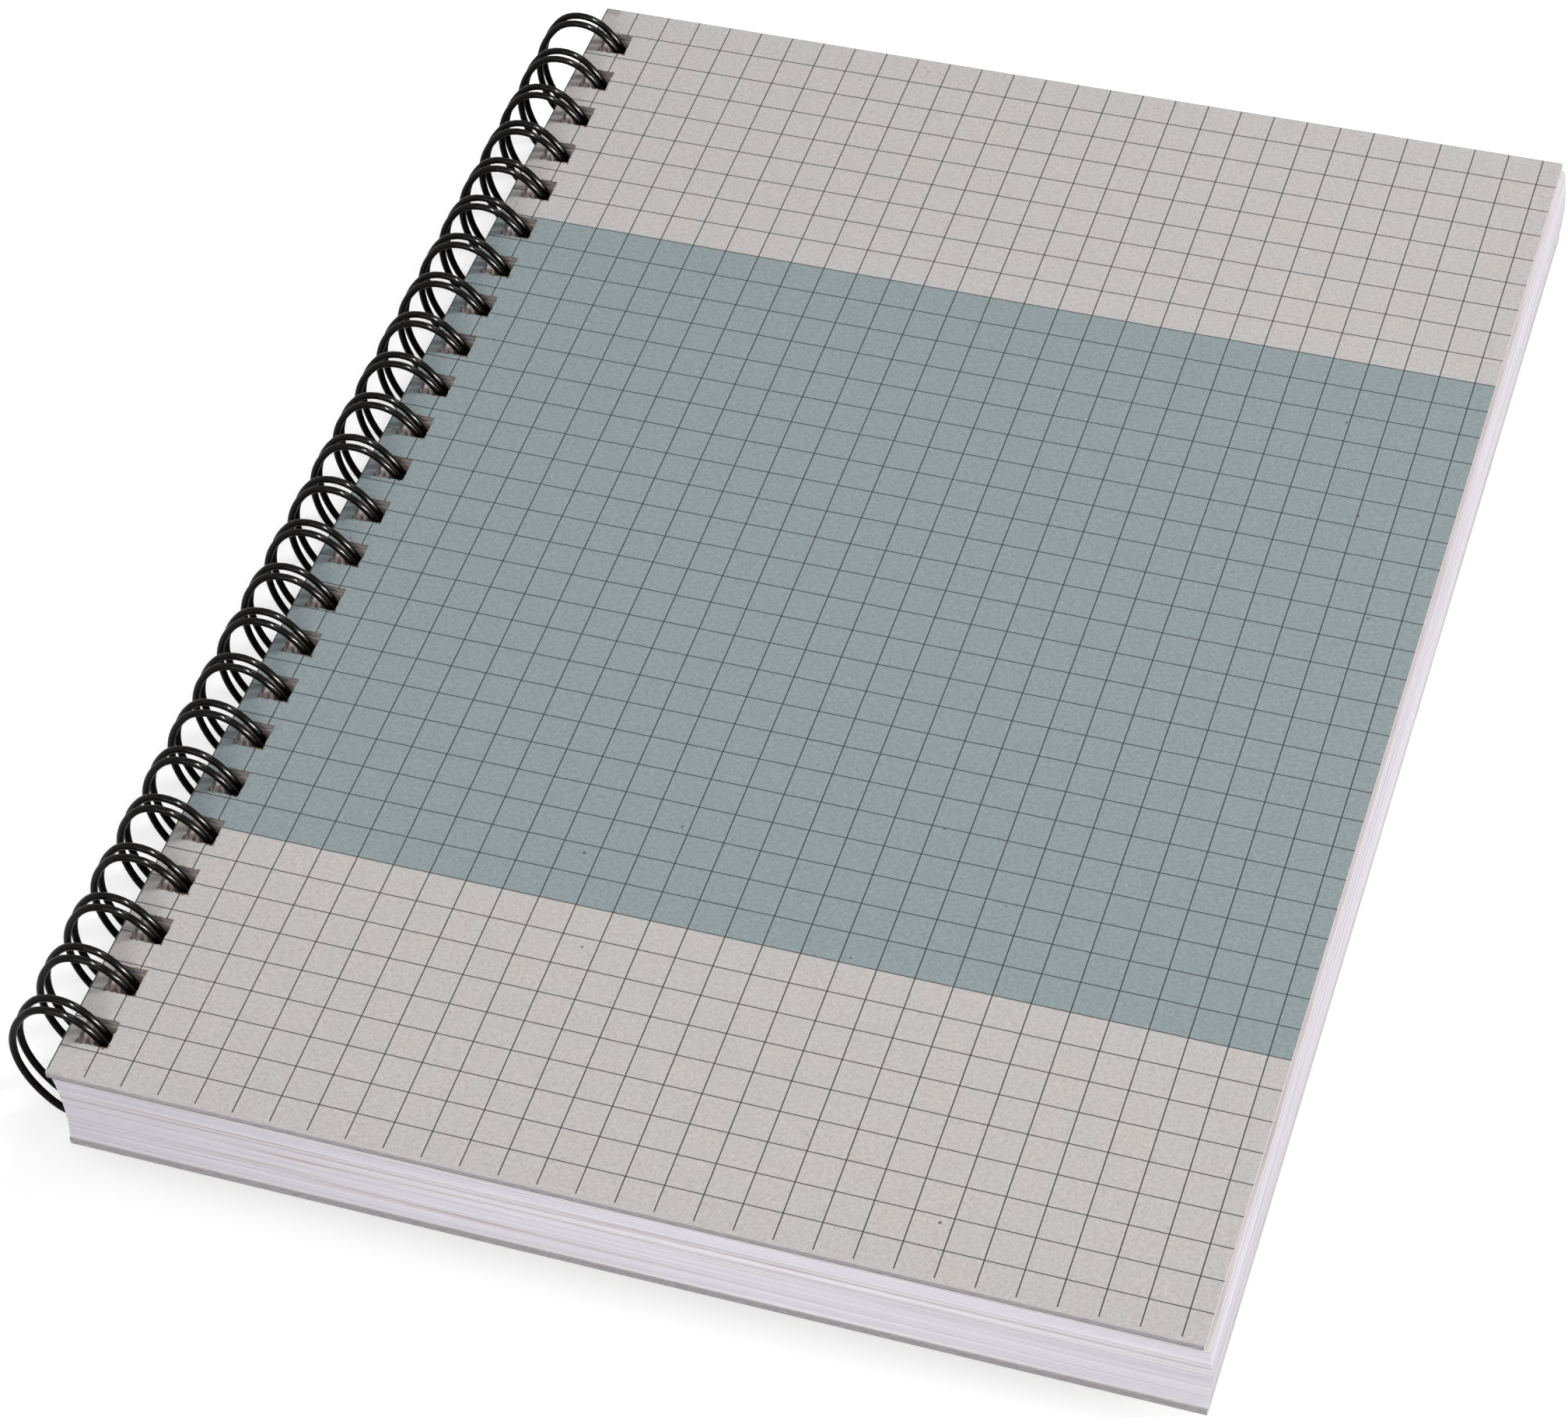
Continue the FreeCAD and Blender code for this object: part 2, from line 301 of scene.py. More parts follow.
# Its fibres and specks: how wide and how common they are, and how strongly they show.
# The breaks in a fibre have a grain that is this share of its own.
DARK_HAIR = {"grain": 1.4 * MM, "width": 0.014, "share": 0.3, "shift": (0.3, 5.2, 1.1)}
FINE_HAIR = {"grain": 0.55 * MM, "width": 0.05, "share": 0.55, "shift": (6.3, 2.2, 4.1)}
PALE_HAIR = {"grain": 0.7 * MM, "width": 0.045, "share": 0.5, "shift": (2.7, 0.4, 8.1)}
BREAK_GRAIN = 0.6
BREAK_SHIFT = 3.3
BREAK_FADE = 0.08
DARK_HAIR_SHOWS = 0.36
FINE_TO_DARK = 0.5
PALE_HAIR_SHOWS = 0.12
FLECKS = {"spacing": 5.5 * MM, "largest": 0.26 * MM, "share": 0.55}
DUST = {"spacing": 1.9 * MM, "largest": 0.1 * MM, "share": 0.4}
FLECKS_SHOW = 0.75
DUST_SHOWS = 0.35
INK_SHOWS = 0.84
INK_ON_FELT = 0.32

# Wear at the holes, with painted shade of the wires mixed into the rub marks. The pairs are
# distances north of a hole's middle, between which it fades in. Tears and scorch reach out from
# the hole where the felt stands above their level.
RUB_AND_SHADE_NORTH = (1.4 * MM, 0.4 * MM)
RUB_AND_SHADE_SOUTH = (-2.6 * MM, -1.8 * MM)
RUB_AND_SHADE_FADE = 0.6 * MM
RUB_AND_SHADE_SHOWS = 0.1
RUB_AND_SHADE_ON_FELT = 0.5
TORN_LEVEL = 0.42
TORN_REACH = 1.3 * MM
TORN_SHOWS = 0.75
SCORCH_SIDE = (-1.2 * MM, -2.0 * MM)
SCORCH_LEVEL = 0.36
SCORCH_REACH = 1.5 * MM
SCORCH_SHOWS = 0.85

# Cut edges: the hole's rim, a painted highlight along the fore edge and a painted shade line
# beside the leaves.
FACE_DEPTH = 0.06 * MM
HOLE_WALL = 0.5 * MM
RIM_DEPTH = 0.08 * MM
RIM_UNEVEN = 0.3 * MM
RIM_SHOWS = 0.8
FORE_LIGHT_DEPTH = 0.1 * MM
FORE_LIGHT_SHOWS = 0.85
GAP_SHADE_DEPTH = (0.3 * MM, 0.2 * MM)
GAP_SHADE_UNEVEN = 0.12 * MM
GAP_SHADE_REACH = 0.2 * MM
GAP_SHADE_OFF_FORE = 0.8
FRONT_GAP_SHADE_SHOWS = 0.75
BACK_GAP_SHADE_SHOWS = 0.3

BOARD_ROUGHNESS = 0.8
PAPER_ROUGHNESS = 0.75
UNEVEN_ROUGHNESS = 0.15
HAIR_HEIGHT = 0.35
BOARD_BUMP = (0.85, 0.08 * MM)
DULL_GLOSS = 0.12


def near_hole(x, y, low):
    """Of the nearest punched hole: how far north of its middle a point is, and how far outside."""
    number = y / HOLE_PITCH + (HOLES - 1) / 2
    north = (number - number.rounded()) * HOLE_PITCH
    along = (x - (low.x + HOLE_MARGIN + HOLE_SIDE / 2)).size()
    past_last = y.size() - (HOLES - 1) / 2 * HOLE_PITCH
    outside = north.size().larger(along).larger(past_last) - HOLE_SIDE / 2
    return north, outside


def from_outline(x, y, low, high):
    """How far inside the outline of a sheet a point is."""
    return (x - low.x).smaller(high.x - x).smaller(y - low.y).smaller(high.y - y)


class Board(Finish):
    """Uncoated recycled board. The printed one carries a grid of fine lines and a solid band."""

    def __init__(self, name, low, high, printed):
        super().__init__(name)
        self.low, self.high = low, high
        self.printed = printed
        self.where = self.place()
        self.x, self.y, self.z = self.axes(self.where)
        self.felt = self.noise(self.where, **FELT)
        self.plies = self.noise(self.where, **PLIES)
        self.dark_hair = self.hair(**DARK_HAIR)
        self.pale_hair = self.hair(**PALE_HAIR)
        self.north, self.from_hole = near_hole(self.x, self.y, low)
        upper = self.z.above(high.z - FACE_DEPTH)
        under = self.z.below(low.z + FACE_DEPTH)
        self.face = (upper + under).clamped()
        self.outer = upper if printed else under

    def hair(self, grain, width, share, shift):
        """Short curly fibres: thin level lines of a soft noise, broken up by another one."""
        swirl = self.noise(self.where, grain, detail=1.0, shift=shift)
        aside = tuple(part + BREAK_SHIFT for part in shift)
        breaks = self.noise(self.where, grain * BREAK_GRAIN, detail=0.0, shift=aside)
        lines = (1 - (swirl - 0.5).size() / width).clamped()
        return lines * breaks.ramp(1 - share, 1 - share + BREAK_FADE)

    def specks(self, spacing, largest, share):
        """Scattered dark specks of many sizes, one at most in each cell of the spacing."""
        distance = self.node(
            "ShaderNodeTexVoronoi",
            values={"Vector": self.where, "Scale": 1 / spacing}, output="Distance",
        )
        chance = self.node(
            "ShaderNodeSeparateColor", values={"Color": distance.beside("Color")}
        )
        reach = (chance - (1 - share)) * (largest / spacing / share)
        return distance.below(reach)

    def bare(self):
        """Warm and cool pulp under its felt."""
        mottle = self.noise(self.where, **MOTTLE)
        pale = self.mix(mottle.ramp(*MOTTLE_LEVELS), BOARD_COOL, BOARD_WARM)
        return self.mix(self.felt.ramp(*FELT_LEVELS), BOARD_SHADE, pale)

    def row_number(self):
        """How many grid rows below the head a point is."""
        down = self.high.y - self.y
        left = (ROW_STEP * ROW_STEP - 4 * ROW_DRIFT * down).root()
        return (ROW_STEP - left) / (2 * ROW_DRIFT)

    def band(self, colour, rows):
        """The solid band, paler where the felt stands up."""
        ink = self.mix(self.felt.ramp(*FELT_LEVELS), BAND_SHADE, BAND_COLOUR)
        within = rows.above(BAND_TOP) * rows.below(BAND_BOTTOM)
        return self.mix(within * self.outer, colour, ink)

    def grid(self, colour, rows):
        """The fine lines. The columns stop short of the tail, the rows at the last one."""
        column = (self.x - self.low.x - GRID_START) / GRID_STEP
        column_line = ((column - column.rounded()).size() * GRID_STEP).below(LINE_WIDTH / 2)
        column_line = column_line * self.y.above(self.low.y + GRID_END_GAP)
        row_line = ((rows - rows.rounded()).size() * ROW_STEP).below(LINE_WIDTH / 2)
        row_line = row_line * rows.below(LAST_ROW + 0.5)
        lines = (column_line + row_line).clamped() * self.outer
        ink = (INK_SHOWS + self.felt * INK_ON_FELT).clamped()
        return self.mix(lines * ink, colour, LINE_COLOUR)

    def fibres(self, colour):
        """Dark and pale fibres, and specks over them."""
        dark = (self.dark_hair + self.hair(**FINE_HAIR) * FINE_TO_DARK).clamped()
        colour = self.mix(dark * DARK_HAIR_SHOWS, colour, FIBRE_DARK)
        colour = self.mix(self.pale_hair * PALE_HAIR_SHOWS, colour, FIBRE_PALE)
        flecks, dust = self.specks(**FLECKS), self.specks(**DUST)
        spotted = (flecks * FLECKS_SHOW + dust * DUST_SHOWS).clamped()
        return self.mix(spotted, colour, SPECK)

    def worn_and_shaded(self, colour):
        """Rub marks mixed with painted shade under the wires, torn fibres round the holes,
        scorched ones tailward.
        """
        hole_edge = self.low.x + HOLE_MARGIN
        # Rub marks mixed with painted shade of the wires, between the bound edge and each hole,
        # mostly tailward of its middle.
        rubbed_and_shaded = self.north.ramp(*RUB_AND_SHADE_NORTH) * self.north.ramp(*RUB_AND_SHADE_SOUTH)
        rubbed_and_shaded = rubbed_and_shaded * self.x.ramp(hole_edge + RUB_AND_SHADE_FADE, hole_edge) * self.outer
        colour = self.mix(rubbed_and_shaded * (RUB_AND_SHADE_SHOWS + RUB_AND_SHADE_ON_FELT * self.felt), colour, RUB_AND_SHADE_MARK)
        torn = (self.from_hole - (self.felt - TORN_LEVEL) * TORN_REACH).below(0.0)
        colour = self.mix(torn * TORN_SHOWS, colour, TORN_RIM)
        scorched = (self.from_hole - (self.felt - SCORCH_LEVEL) * SCORCH_REACH).below(0.0)
        scorched = scorched * self.north.ramp(*SCORCH_SIDE) * self.outer
        return self.mix(scorched * SCORCH_SHOWS, colour, SCORCH)

    def cut(self, colour):
        """The faces keep their colour; the outline and the holes show the cut plies. The fore edge
        gets a painted highlight, and the edge beside the leaves a painted shade line.
        """
        rim = (self.z + self.plies * RIM_UNEVEN).above(self.high.z - RIM_DEPTH)
        rim = self.from_hole.below(HOLE_WALL) * rim
        # Painted light: the cut face at the fore edge is painted paler, as lit.
        fore = self.x.above(self.high.x - FORE_LIGHT_DEPTH)
        edge = self.mix(self.plies.ramp(*PLY_LEVELS), CUT_SHADE, CUT_BOARD)
        edge = self.mix(rim * RIM_SHOWS, edge, TORN_RIM)
        edge = self.mix(fore * FORE_LIGHT_SHOWS, edge, CUT_FORE_LIGHT)
        colour = self.mix(self.face, edge, colour)
        # Painted shade: a dark line on the cut edge next to the leaves, weaker on the back cover
        # and at the fore edge.
        inside = self.z - self.low.z if self.printed else self.high.z - self.z
        gap = (inside + self.plies * GAP_SHADE_UNEVEN).ramp(*GAP_SHADE_DEPTH)
        gap = gap * from_outline(self.x, self.y, self.low, self.high).below(GAP_SHADE_REACH)
        gap = gap * (1 - fore * GAP_SHADE_OFF_FORE)
        gap_shade_shows = FRONT_GAP_SHADE_SHOWS if self.printed else BACK_GAP_SHADE_SHOWS
        return self.mix(gap * gap_shade_shows, colour, CUT_GAP_SHADE)

    def dressed(self):
        """The whole finish, as a material."""
        colour = self.bare()
        if self.printed:
            rows = self.row_number()
            colour = self.grid(self.fibres(self.band(colour, rows)), rows)
        else:
            colour = self.fibres(colour)
        height = self.felt + (self.dark_hair + self.pale_hair) * HAIR_HEIGHT
        return self.surface(
            Base_Color=self.cut(self.worn_and_shaded(colour)),
            Roughness=BOARD_ROUGHNESS + UNEVEN_ROUGHNESS * self.felt,
            Normal=self.bump(height, *BOARD_BUMP),
            Specular_IOR_Level=DULL_GLOSS,
        )


PAPER_SHADE = tint(217, 213, 221)
PAPER_CUT = tint(238, 235, 242)
# Painted highlight: a whiter tone for the leaves that stand out as light lines.
PAPER_HIGHLIGHT = tint(252, 249, 243)
PAPER_FACE = tint(230, 228, 232)
PAPER_CLOUD = tint(222, 220, 225)
# Painted shade in the gaps between leaves and between bundles of them.
PAPER_GAP_SHADE = tint(186, 172, 167)
# Painted shade: a warm darker tone inside the punched holes.
PAPER_HOLE_SHADE = tint(212, 188, 178)

# The noises of the pile's cut edges: layers of leaves, painted shade of gaps that come and go,
# fuzz and pulp.
LAYERS = {"grain": 1.1 * MM, "stretch": (0.01, 0.01, 1), "roughness": 0.6}
BUNDLES = {
    "grain": 1.3 * MM, "stretch": (0.004, 0.004, 1), "detail": 1.0, "shift": (0.2, 0.5, 7.0),
}
LEAF_GAP_SHADE_RUN = {"grain": 14 * MM, "stretch": (1, 1, 30), "shift": (1.0, 4.0, 2.0)}
FUZZ = {"grain": 0.4 * MM, "stretch": (0.25, 0.25, 1.6), "shift": (2.0, 1.0, 0.3)}
PULP = {"grain": 0.6 * MM, "detail": 4.0, "roughness": 0.7, "shift": (5.0, 2.0, 6.0)}
PAPER_LEVELS = (0.3, 0.7)
LEAF_GAP_SHADE_LEVELS = (0.3, 0.65)
FUZZ_LEVELS = (0.45, 0.8)

# Tones of the leaves painted white as highlight lines and of those painted dark as shade in the
# gaps, and how strongly each mark shows. The partings are painted shade lines between bundles of
# leaves.
HIGHLIGHT_TONES = 0.1
HIGHLIGHT_SHOWS = 0.6
LEAF_GAP_SHADE_TONES = 0.955
LEAF_GAP_SHADE_SHOWS = 0.5
PARTING_SHADE_WIDTH = 0.024
PARTING_SHADE_SHOWS = 0.4
PARTING_SHADE_MOST = 0.9
FUZZ_SHOWS = 0.25
PAPER_HOLE_SHADE_SHOWS = 0.6
EDGE_DEPTH = (1.5 * MM, 0.9 * MM)
PAPER_BUMP = (0.3, 0.03 * MM)


def leaf_paper():
    """White uncoated paper, seen mostly as the cut edges of a pile of leaves, with painted shade
    in its gaps and holes and painted highlight lines.
    """
    finish = Finish("leaf_paper")
    where = finish.place()
    x, y, _ = finish.axes(where)
    tone = finish.node(
        "ShaderNodeAttribute", {"attribute_type": "GEOMETRY", "attribute_name": TONE},
        output="Fac",
    )
    run = finish.noise(where, **LEAF_GAP_SHADE_RUN)
    fuzz = finish.noise(where, **FUZZ)
    cut = finish.mix(finish.noise(where, **LAYERS).ramp(*PAPER_LEVELS), PAPER_SHADE, PAPER_CUT)
    # Painted highlight: some leaves are painted whiter as light lines.
    cut = finish.mix(tone.below(HIGHLIGHT_TONES) * HIGHLIGHT_SHOWS, cut, PAPER_HIGHLIGHT)
    # Painted shade: some leaves are painted dark as gaps between leaves, and thin partings as gaps
    # between bundles.
    gap = tone.above(LEAF_GAP_SHADE_TONES) * (LEAF_GAP_SHADE_SHOWS + run.ramp(*LEAF_GAP_SHADE_LEVELS) * (1 - LEAF_GAP_SHADE_SHOWS))
    parting_shade = (1 - (finish.noise(where, **BUNDLES) - 0.5).size() / PARTING_SHADE_WIDTH).clamped()
    parting_shade = parting_shade * (PARTING_SHADE_SHOWS + run.ramp(*PAPER_LEVELS) * (1 - PARTING_SHADE_SHOWS))
    cut = finish.mix(gap.larger(parting_shade * PARTING_SHADE_MOST), cut, PAPER_GAP_SHADE)
    face = finish.mix(finish.noise(where, **PULP).ramp(*PAPER_LEVELS), PAPER_CLOUD, PAPER_FACE)
    edge = from_outline(x, y, BLOCK_LOW, BLOCK_HIGH).ramp(*EDGE_DEPTH)
    colour = finish.mix(edge, face, cut)
    colour = finish.mix(fuzz.ramp(*FUZZ_LEVELS) * FUZZ_SHOWS, colour, PAPER_SHADE)
    # Painted shade inside the punched holes.
    hole_shade_mask = near_hole(x, y, BLOCK_LOW)[1].below(HOLE_WALL)
    colour = finish.mix(hole_shade_mask * PAPER_HOLE_SHADE_SHOWS, colour, PAPER_HOLE_SHADE)
    return finish.surface(
        Base_Color=colour,
        Roughness=PAPER_ROUGHNESS + UNEVEN_ROUGHNESS * fuzz,
        Normal=finish.bump(fuzz, *PAPER_BUMP),
        Specular_IOR_Level=DULL_GLOSS,
    )


COAT_BLACK = tint(10, 8, 7)
COAT_WORN = tint(28, 22, 18)
COAT_WAVES = {"grain": 1.3 * MM}
COAT_DUST = {"grain": 0.25 * MM, "shift": (4.0, 0.5, 1.5)}
COAT_LEVELS = (0.45, 0.8)
COAT_BUMP = (0.02, 0.02 * MM)
COAT_ROUGHNESS = 0.13
DUST_ROUGHNESS = 0.05
COAT_GLOSS = 0.1


def coated_wire():
    """Steel wire with a glossy black coat."""
    finish = Finish("coated_wire")
    where = finish.place()
    dust = finish.noise(where, **COAT_DUST)
    return finish.surface(
        Base_Color=finish.mix(dust.ramp(*COAT_LEVELS), COAT_BLACK, COAT_WORN),
        Roughness=COAT_ROUGHNESS + DUST_ROUGHNESS * dust,
        Normal=finish.bump(finish.noise(where, **COAT_WAVES), *COAT_BUMP),
        Specular_IOR_Level=COAT_GLOSS,
    )


def link(name, data):
    made = bpy.data.objects.new(name, data)
    bpy.context.scene.collection.objects.link(made)
    return made


def plain_mesh(holder):
    """The finished mesh of an object, which is then removed."""
    bpy.context.view_layer.update()
    seen = holder.evaluated_get(bpy.context.evaluated_depsgraph_get())
    mesh = bpy.data.meshes.new_from_object(seen)
    bpy.data.objects.remove(holder)
    return mesh


def hole_middles():
    return [(number - (HOLES - 1) / 2) * HOLE_PITCH for number in range(HOLES)]


def rectangle(left, right, tail, head):
    return [(left, tail), (right, tail), (right, head), (left, head)]


def rounded_rectangle(left, right, tail, head, radius):
    corners = (
        (right - radius, head - radius, 0),
        (left + radius, head - radius, 90),
        (left + radius, tail + radius, 180),
        (right - radius, tail + radius, 270),
    )
    return [
        (x + radius * math.cos(math.radians(turn + 90 * step / CORNER_STEPS)),
         y + radius * math.sin(math.radians(turn + 90 * step / CORNER_STEPS)))
        for x, y, turn in corners
        for step in range(CORNER_STEPS + 1)
    ]


def ragged_hole(left, middle, chance):
    """A punched square whose edge the punch has torn outwards a little."""
    near, far = middle - HOLE_SIDE / 2, middle + HOLE_SIDE / 2
    corners = rectangle(left, left + HOLE_SIDE, near, far)
    outline = []
    for start, end in zip(corners, corners[1:] + corners[:1]):
        along = Vector(end) - Vector(start)
        outward = Vector((along.y, -along.x)).normalized()
        for step in range(TEARS_A_SIDE):
            torn = chance.random() ** 2 * TEAR if step else 0.0
            outline.append(tuple(Vector(start) + along * step / TEARS_A_SIDE + outward * torn))
    return outline


def flat_sheet(name, outline, openings, thickness, arris):
    """A sheet of board or paper with openings, its underside on z = 0, its arrises softened."""
    curve = bpy.data.curves.new(name, "CURVE")
    curve.dimensions = "2D"
    curve.fill_mode = "BOTH"
    curve.extrude = thickness / 2 - arris
    curve.bevel_depth = arris
    curve.bevel_resolution = 1 if arris else 0
    curve.offset = -arris
    for ring in [outline, *openings]:
        spline = curve.splines.new("POLY")
        spline.points.add(len(ring) - 1)
        for point, (x, y) in zip(spline.points, ring):
            point.co = (x, y, 0, 1)
        spline.use_cyclic_u = True
    mesh = plain_mesh(link(name, curve))
    work = bmesh.new()
    work.from_mesh(mesh)
    bmesh.ops.remove_doubles(work, verts=work.verts, dist=WELD_DISTANCE)
    bmesh.ops.translate(work, verts=work.verts, vec=(0, 0, thickness / 2))
    bmesh.ops.recalc_face_normals(work, faces=work.faces)
    work.to_mesh(mesh)
    work.free()
    return mesh


def cover(name, low, high, finish, seed):
    """A cover board with its row of punched holes."""
    chance = random.Random(seed)
    openings = [ragged_hole(low.x + HOLE_MARGIN, y, chance) for y in hole_middles()]
    outline = rounded_rectangle(low.x, high.x, low.y, high.y, CORNER_RADIUS)
    mesh = flat_sheet(name + "_board", outline, openings, high.z - low.z, BOARD_ARRIS)
    mesh.transform(Matrix.Translation((0, 0, low.z)))
    mesh.materials.append(finish)
    made = link(name + "_board", mesh)
    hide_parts(name)
    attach(made, name)


def shape_nodes(name, inputs):
    """An empty geometry tree with named inputs, as its nodes and the socket of its entry."""
    tree = bpy.data.node_groups.new(name, "GeometryNodeTree")
    tree.interface.new_socket("Geometry", in_out="INPUT", socket_type="NodeSocketGeometry")
    for label, kind, value in inputs:
        socket = tree.interface.new_socket(label, in_out="INPUT", socket_type="NodeSocket" + kind)
        if value is not None:
            socket.default_value = value
    tree.interface.new_socket("Geometry", in_out="OUTPUT", socket_type="NodeSocketGeometry")
    nodes = Nodes(tree)
    return nodes, nodes.node("NodeGroupInput")


def close_tree(nodes, shape, material):
    """Ends a geometry tree with real meshes that wear the material."""
    real = nodes.node("GeometryNodeRealizeInstances", values={"Geometry": shape})
    dressed = nodes.node(
        "GeometryNodeSetMaterial", values={"Geometry": real, "Material": material}
    )
    nodes.node("NodeGroupOutput", values={"Geometry": dressed})
    return nodes.tree


def settle(holder, tree, inputs, name):
    """Runs the tree on the holder and keeps the result as a plain mesh object."""
    modifier = holder.modifiers.new(name, "NODES")
    modifier.node_group = tree
    for item in tree.interface.items_tree:
        if item.in_out == "INPUT" and item.name in inputs:
            modifier[item.identifier] = inputs[item.name]
    return link(name, plain_mesh(holder))


def leaf_pile_tree():
    """Leaves laid one on another and a little out of line, the middle ones furthest out."""
    nodes, given = shape_nodes(
        "leaf_pile",
        (
            ("Leaf", "Object", None), ("Seam Leaf", "Object", None),
            ("Leaves", "Int", 100), ("Seam Leaves", "Int", 10),
            ("Bottom", "Float", 0.0), ("Step", "Float", 0.1 * MM),
            ("Bulge", "Float", 0.0), ("Slip", "Float", 0.0), ("Seed", "Int", 1),
            ("Paper", "Material", None),
        ),
    )
    count, seed = given.beside("Leaves"), given.beside("Seed")
    index = nodes.node("GeometryNodeInputIndex")
    start = nodes.node("ShaderNodeCombineXYZ", values={"Z": given.beside("Bottom")})
    rise = nodes.node("ShaderNodeCombineXYZ", values={"Z": given.beside("Step")})
    line = nodes.node(
        "GeometryNodeMeshLine", {"mode": "OFFSET"},
        {"Count": count, "Start Location": start, "Offset": rise},
    )
    from_middle = index / count * 2.0 - 1.0
    bulge = (1.0 - from_middle * from_middle) * given.beside("Bulge")
    slip = nodes.node(
        "FunctionNodeRandomValue", {"data_type": "FLOAT_VECTOR"},
        {0: (-1.0, -1.0, 0.0), 1: (1.0, 1.0, 0.0), "Seed": seed},
    )
    slipped = nodes.node(
        "ShaderNodeVectorMath", {"operation": "SCALE"}, {0: slip, "Scale": given.beside("Slip")}
    )
    bulged = nodes.node("ShaderNodeCombineXYZ", values={"X": bulge})
    aside = nodes.node("ShaderNodeVectorMath", {"operation": "ADD"}, {0: slipped, 1: bulged})
    placed = nodes.node("GeometryNodeSetPosition", values={"Geometry": line, "Offset": aside})
    at_seam = nodes.node(
        "FunctionNodeCompare", {"data_type": "INT", "operation": "LESS_THAN"},
        {2: index, 3: given.beside("Seam Leaves")},
    )
    above_seam = nodes.node("FunctionNodeBooleanMath", {"operation": "NOT"}, {0: at_seam})
    laid = []
    for source, chosen in (("Leaf", above_seam), ("Seam Leaf", at_seam)):
        sheet = nodes.node(
            "GeometryNodeObjectInfo", values={"Object": given.beside(source)}, output="Geometry"
        )
        laid.append(nodes.node(
            "GeometryNodeInstanceOnPoints",
            values={"Points": placed, "Selection": chosen, "Instance": sheet},
        ))
    pile = nodes.node("GeometryNodeJoinGeometry", values={"Geometry": laid})
    tone = nodes.node(
        "FunctionNodeRandomValue", {"data_type": "FLOAT"}, {2: 0.0, 3: 1.0, "Seed": seed},
        output=1,
    )
    toned = nodes.node(
        "GeometryNodeStoreNamedAttribute", {"data_type": "FLOAT", "domain": "INSTANCE"},
        {"Geometry": pile, "Name": TONE, "Value": tone},
    )
    return close_tree(nodes, toned, given.beside("Paper"))


def leaves(finish):
    """The pile of leaves. The lowest ones are cut out over the seam of the loops."""
    step = (BLOCK_HIGH.z - LEAF_SLIT - BLOCK_LOW.z) / LEAVES
    room = LEAF_SLIP + LEAF_ROOM
    left, right = BLOCK_LOW.x + room, BLOCK_HIGH.x - LEAF_BULGE - room
    tail, head = BLOCK_LOW.y + room + LEAF_RECESS, BLOCK_HIGH.y - room - LEAF_RECESS
    outline = rectangle(left, right, tail, head)
    hole_left = BLOCK_LOW.x + HOLE_MARGIN - LEAF_SLIP
    hole_right = BLOCK_LOW.x + HOLE_MARGIN + HOLE_SIDE + LEAF_SLIP
    half = HOLE_SIDE / 2 + LEAF_SLIP
    holes = [rectangle(hole_left, hole_right, y - half, y + half) for y in hole_middles()]
    reach = hole_middles()[-1] + half
    slot = [rectangle(hole_left, hole_right, -reach, reach)]
    plain = link("leaf", flat_sheet("leaf", outline, holes, step * LEAF_SHARE, 0.0))
    cut = link("seam_leaf", flat_sheet("seam_leaf", outline, slot, step * LEAF_SHARE, 0.0))
    seam_height = 2 * SEAM_CLEARANCE + WIRE_THICKNESS
    pile = settle(
        link("pile_holder", bpy.data.meshes.new("pile_holder")), leaf_pile_tree(),
        {
            "Leaf": plain, "Seam Leaf": cut, "Leaves": LEAVES,
            "Seam Leaves": math.ceil(seam_height / step) + 1,
            "Bottom": BLOCK_LOW.z + step * LEAF_LIFT, "Step": step, "Bulge": LEAF_BULGE,
            "Slip": LEAF_SLIP, "Seed": LEAF_SEED, "Paper": finish,
        },
        "leaf_pile",
    )
    for used in (plain, cut):
        bpy.data.objects.remove(used)
    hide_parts("page_block")
    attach(pile, "block")


def arc(middle, first, second, radius, start, end, step_length):
    """Points round a middle in the plane of two directions, without the last one."""
    steps = max(FEWEST_STEPS, round(abs(end - start) * radius / step_length))
    angles = [start + (end - start) * step / steps for step in range(steps)]
    return [middle + (first * math.cos(a) + second * math.sin(a)) * radius for a in angles]


